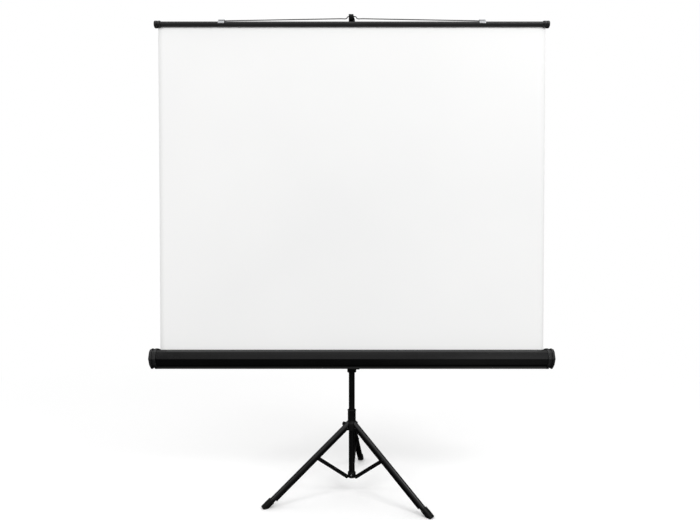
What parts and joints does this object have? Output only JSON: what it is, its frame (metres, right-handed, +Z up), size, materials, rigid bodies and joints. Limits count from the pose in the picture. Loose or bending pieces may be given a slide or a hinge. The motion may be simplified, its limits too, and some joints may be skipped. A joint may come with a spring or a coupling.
{
  "type": "tripod projection screen",
  "caption": "Portable pull-up projection screen: a white fabric drawn from an octagonal case and hooked on a telescopic mast over a folding tripod stand.",
  "frame": {"origin": "floor level under the middle of the bounding box; the mast stands in front of it in -Y", "axes": "+Z up, +X along the case to the right as seen from the audience, the screen faces -Y"},
  "size_m": [1.57, 0.595, 1.878],
  "materials": {
    "black_paint": "satin powder coat",
    "black_plastic": "fine moulded grain",
    "black_rubber": "matt",
    "zinc_steel": "bright zinc plate",
    "dark_steel": "dull steel",
    "roller_aluminium": "mill finish",
    "white_screen": "matt white coated"
  },
  "bodies": {
    "column": {"column_tube": "black_paint", "column_boss": "black_plastic", "mast_clamp": "black_plastic"},
    "hub": {"hub_collar": "black_plastic"},
    "hub_knob": {"hub_knob": "black_plastic"},
    "mast": {"mast_tube": "black_paint", "mast_plug": "black_plastic", "mast_hook": "black_plastic"},
    "mast_knob": {"mast_knob": "black_plastic"},
    "case": {"carriage_sleeve": "black_plastic", "case_pivot_pin": "dark_steel", "case_bracket": "black_paint", "case_shell": "black_paint", "case_cap_left": "black_plastic", "case_cap_right": "black_plastic", "spring_arbor": "zinc_steel"},
    "carriage_knob": {"carriage_knob": "black_plastic"},
    "roller": {"roller_tube": "roller_aluminium", "roller_plug_left": "black_plastic", "roller_plug_right": "black_plastic", "spring_anchor": "black_plastic", "roller_spring": "dark_steel"},
    "bar": {"bar_tube": "black_paint", "bar_cap_left": "black_plastic", "bar_cap_right": "black_plastic", "bail_clip_left": "zinc_steel", "bail_clip_right": "zinc_steel", "bail_wire": "dark_steel", "screen_fabric": "white_screen"},
    "leg_right": {"leg_right": "black_paint", "foot_right": "black_rubber", "hub_pin_right": "black_paint", "leg_pin_right": "black_paint"},
    "brace_right": {"brace_right": "black_paint", "boss_pin_right": "black_paint"},
    "leg_left": {"leg_left": "black_paint", "foot_left": "black_rubber", "hub_pin_left": "black_paint", "leg_pin_left": "black_paint"},
    "brace_left": {"brace_left": "black_paint", "boss_pin_left": "black_paint"},
    "leg_back": {"leg_back": "black_paint", "foot_back": "black_rubber", "hub_pin_back": "black_paint", "leg_pin_back": "black_paint"},
    "brace_back": {"brace_back": "black_paint", "boss_pin_back": "black_paint"}
  },
  "joints": [
    {"name": "tripod_fold", "type": "hinge", "parent": "column", "child": "brace_right", "pos_m": [0.01837, -0.08241, 0.068], "axis": [-0.6018, -0.7986, 0], "range_deg": [0, 49]},
    {"name": "leg_right_swing", "type": "hinge", "parent": "brace_right", "child": "leg_right", "pos_m": [0.12219, -0.16065, 0.165], "axis": [0.6018, 0.7986, 0], "range_deg": [0, 98]},
    {"name": "hub_level", "type": "hinge", "parent": "leg_right", "child": "hub", "pos_m": [0.01837, -0.08241, 0.262], "axis": [-0.6018, -0.7986, 0], "range_deg": [0, 49]},
    {"name": "leg_left_swing", "type": "hinge", "parent": "hub", "child": "leg_left", "pos_m": [-0.02117, -0.07756, 0.262], "axis": [0.3907, -0.9205, 0], "range_deg": [0, 49]},
    {"name": "brace_left_swing", "type": "hinge", "parent": "column", "child": "brace_left", "pos_m": [-0.02117, -0.07756, 0.068], "axis": [-0.3907, 0.9205, 0], "range_deg": [0, 49]},
    {"name": "leg_back_swing", "type": "hinge", "parent": "hub", "child": "leg_back", "pos_m": [0.0028, -0.04574, 0.262], "axis": [-0.9925, 0.1219, 0], "range_deg": [0, 49]},
    {"name": "brace_back_swing", "type": "hinge", "parent": "column", "child": "brace_back", "pos_m": [0.0028, -0.04574, 0.068], "axis": [0.9925, -0.1219, 0], "range_deg": [0, 49]},
    {"name": "hub_knob_turn", "type": "hinge", "parent": "hub", "child": "hub_knob", "pos_m": [-0.01597, -0.05653, 0.269], "axis": [-0.7986, 0.6018, 0], "continuous": true},
    {"name": "case_height", "type": "slide", "parent": "column", "child": "case", "axis": [0, 0, 1], "range_m": [-0.015, 0.25]},
    {"name": "carriage_knob_turn", "type": "hinge", "parent": "case", "child": "carriage_knob", "pos_m": [0, -0.04857, 0.5525], "axis": [0, 1, 0], "continuous": true},
    {"name": "mast_slide", "type": "slide", "parent": "case", "child": "mast", "axis": [0, 0, 1], "range_m": [-0.48, 0.22]},
    {"name": "screen_pull", "type": "slide", "parent": "case", "child": "bar", "axis": [0, 0, 1], "range_m": [-0.48, 0.22], "deforming": ["screen_fabric"]},
    {"name": "roller_turn", "type": "hinge", "parent": "case", "child": "roller", "pos_m": [0, -0.11657, 0.5525], "axis": [-1, 0, 0], "range_deg": [-1521, 698], "deforming": ["roller_spring"]},
    {"name": "mast_knob_turn", "type": "hinge", "parent": "column", "child": "mast_knob", "pos_m": [0, -0.04857, 1.301], "axis": [0, 1, 0], "continuous": true}
  ],
  "couplings": [
    {"joint": "leg_right_swing", "follows": "tripod_fold", "ratio": 2},
    {"joint": "hub_level", "follows": "tripod_fold", "ratio": 1},
    {"joint": "leg_left_swing", "follows": "tripod_fold", "ratio": 1},
    {"joint": "brace_left_swing", "follows": "tripod_fold", "ratio": 1},
    {"joint": "leg_back_swing", "follows": "tripod_fold", "ratio": 1},
    {"joint": "brace_back_swing", "follows": "tripod_fold", "ratio": 1},
    {"joint": "screen_pull", "follows": "mast_slide", "ratio": 1},
    {"joint": "roller_turn", "follows": "mast_slide", "rad_per_m": 55.249}
  ]
}
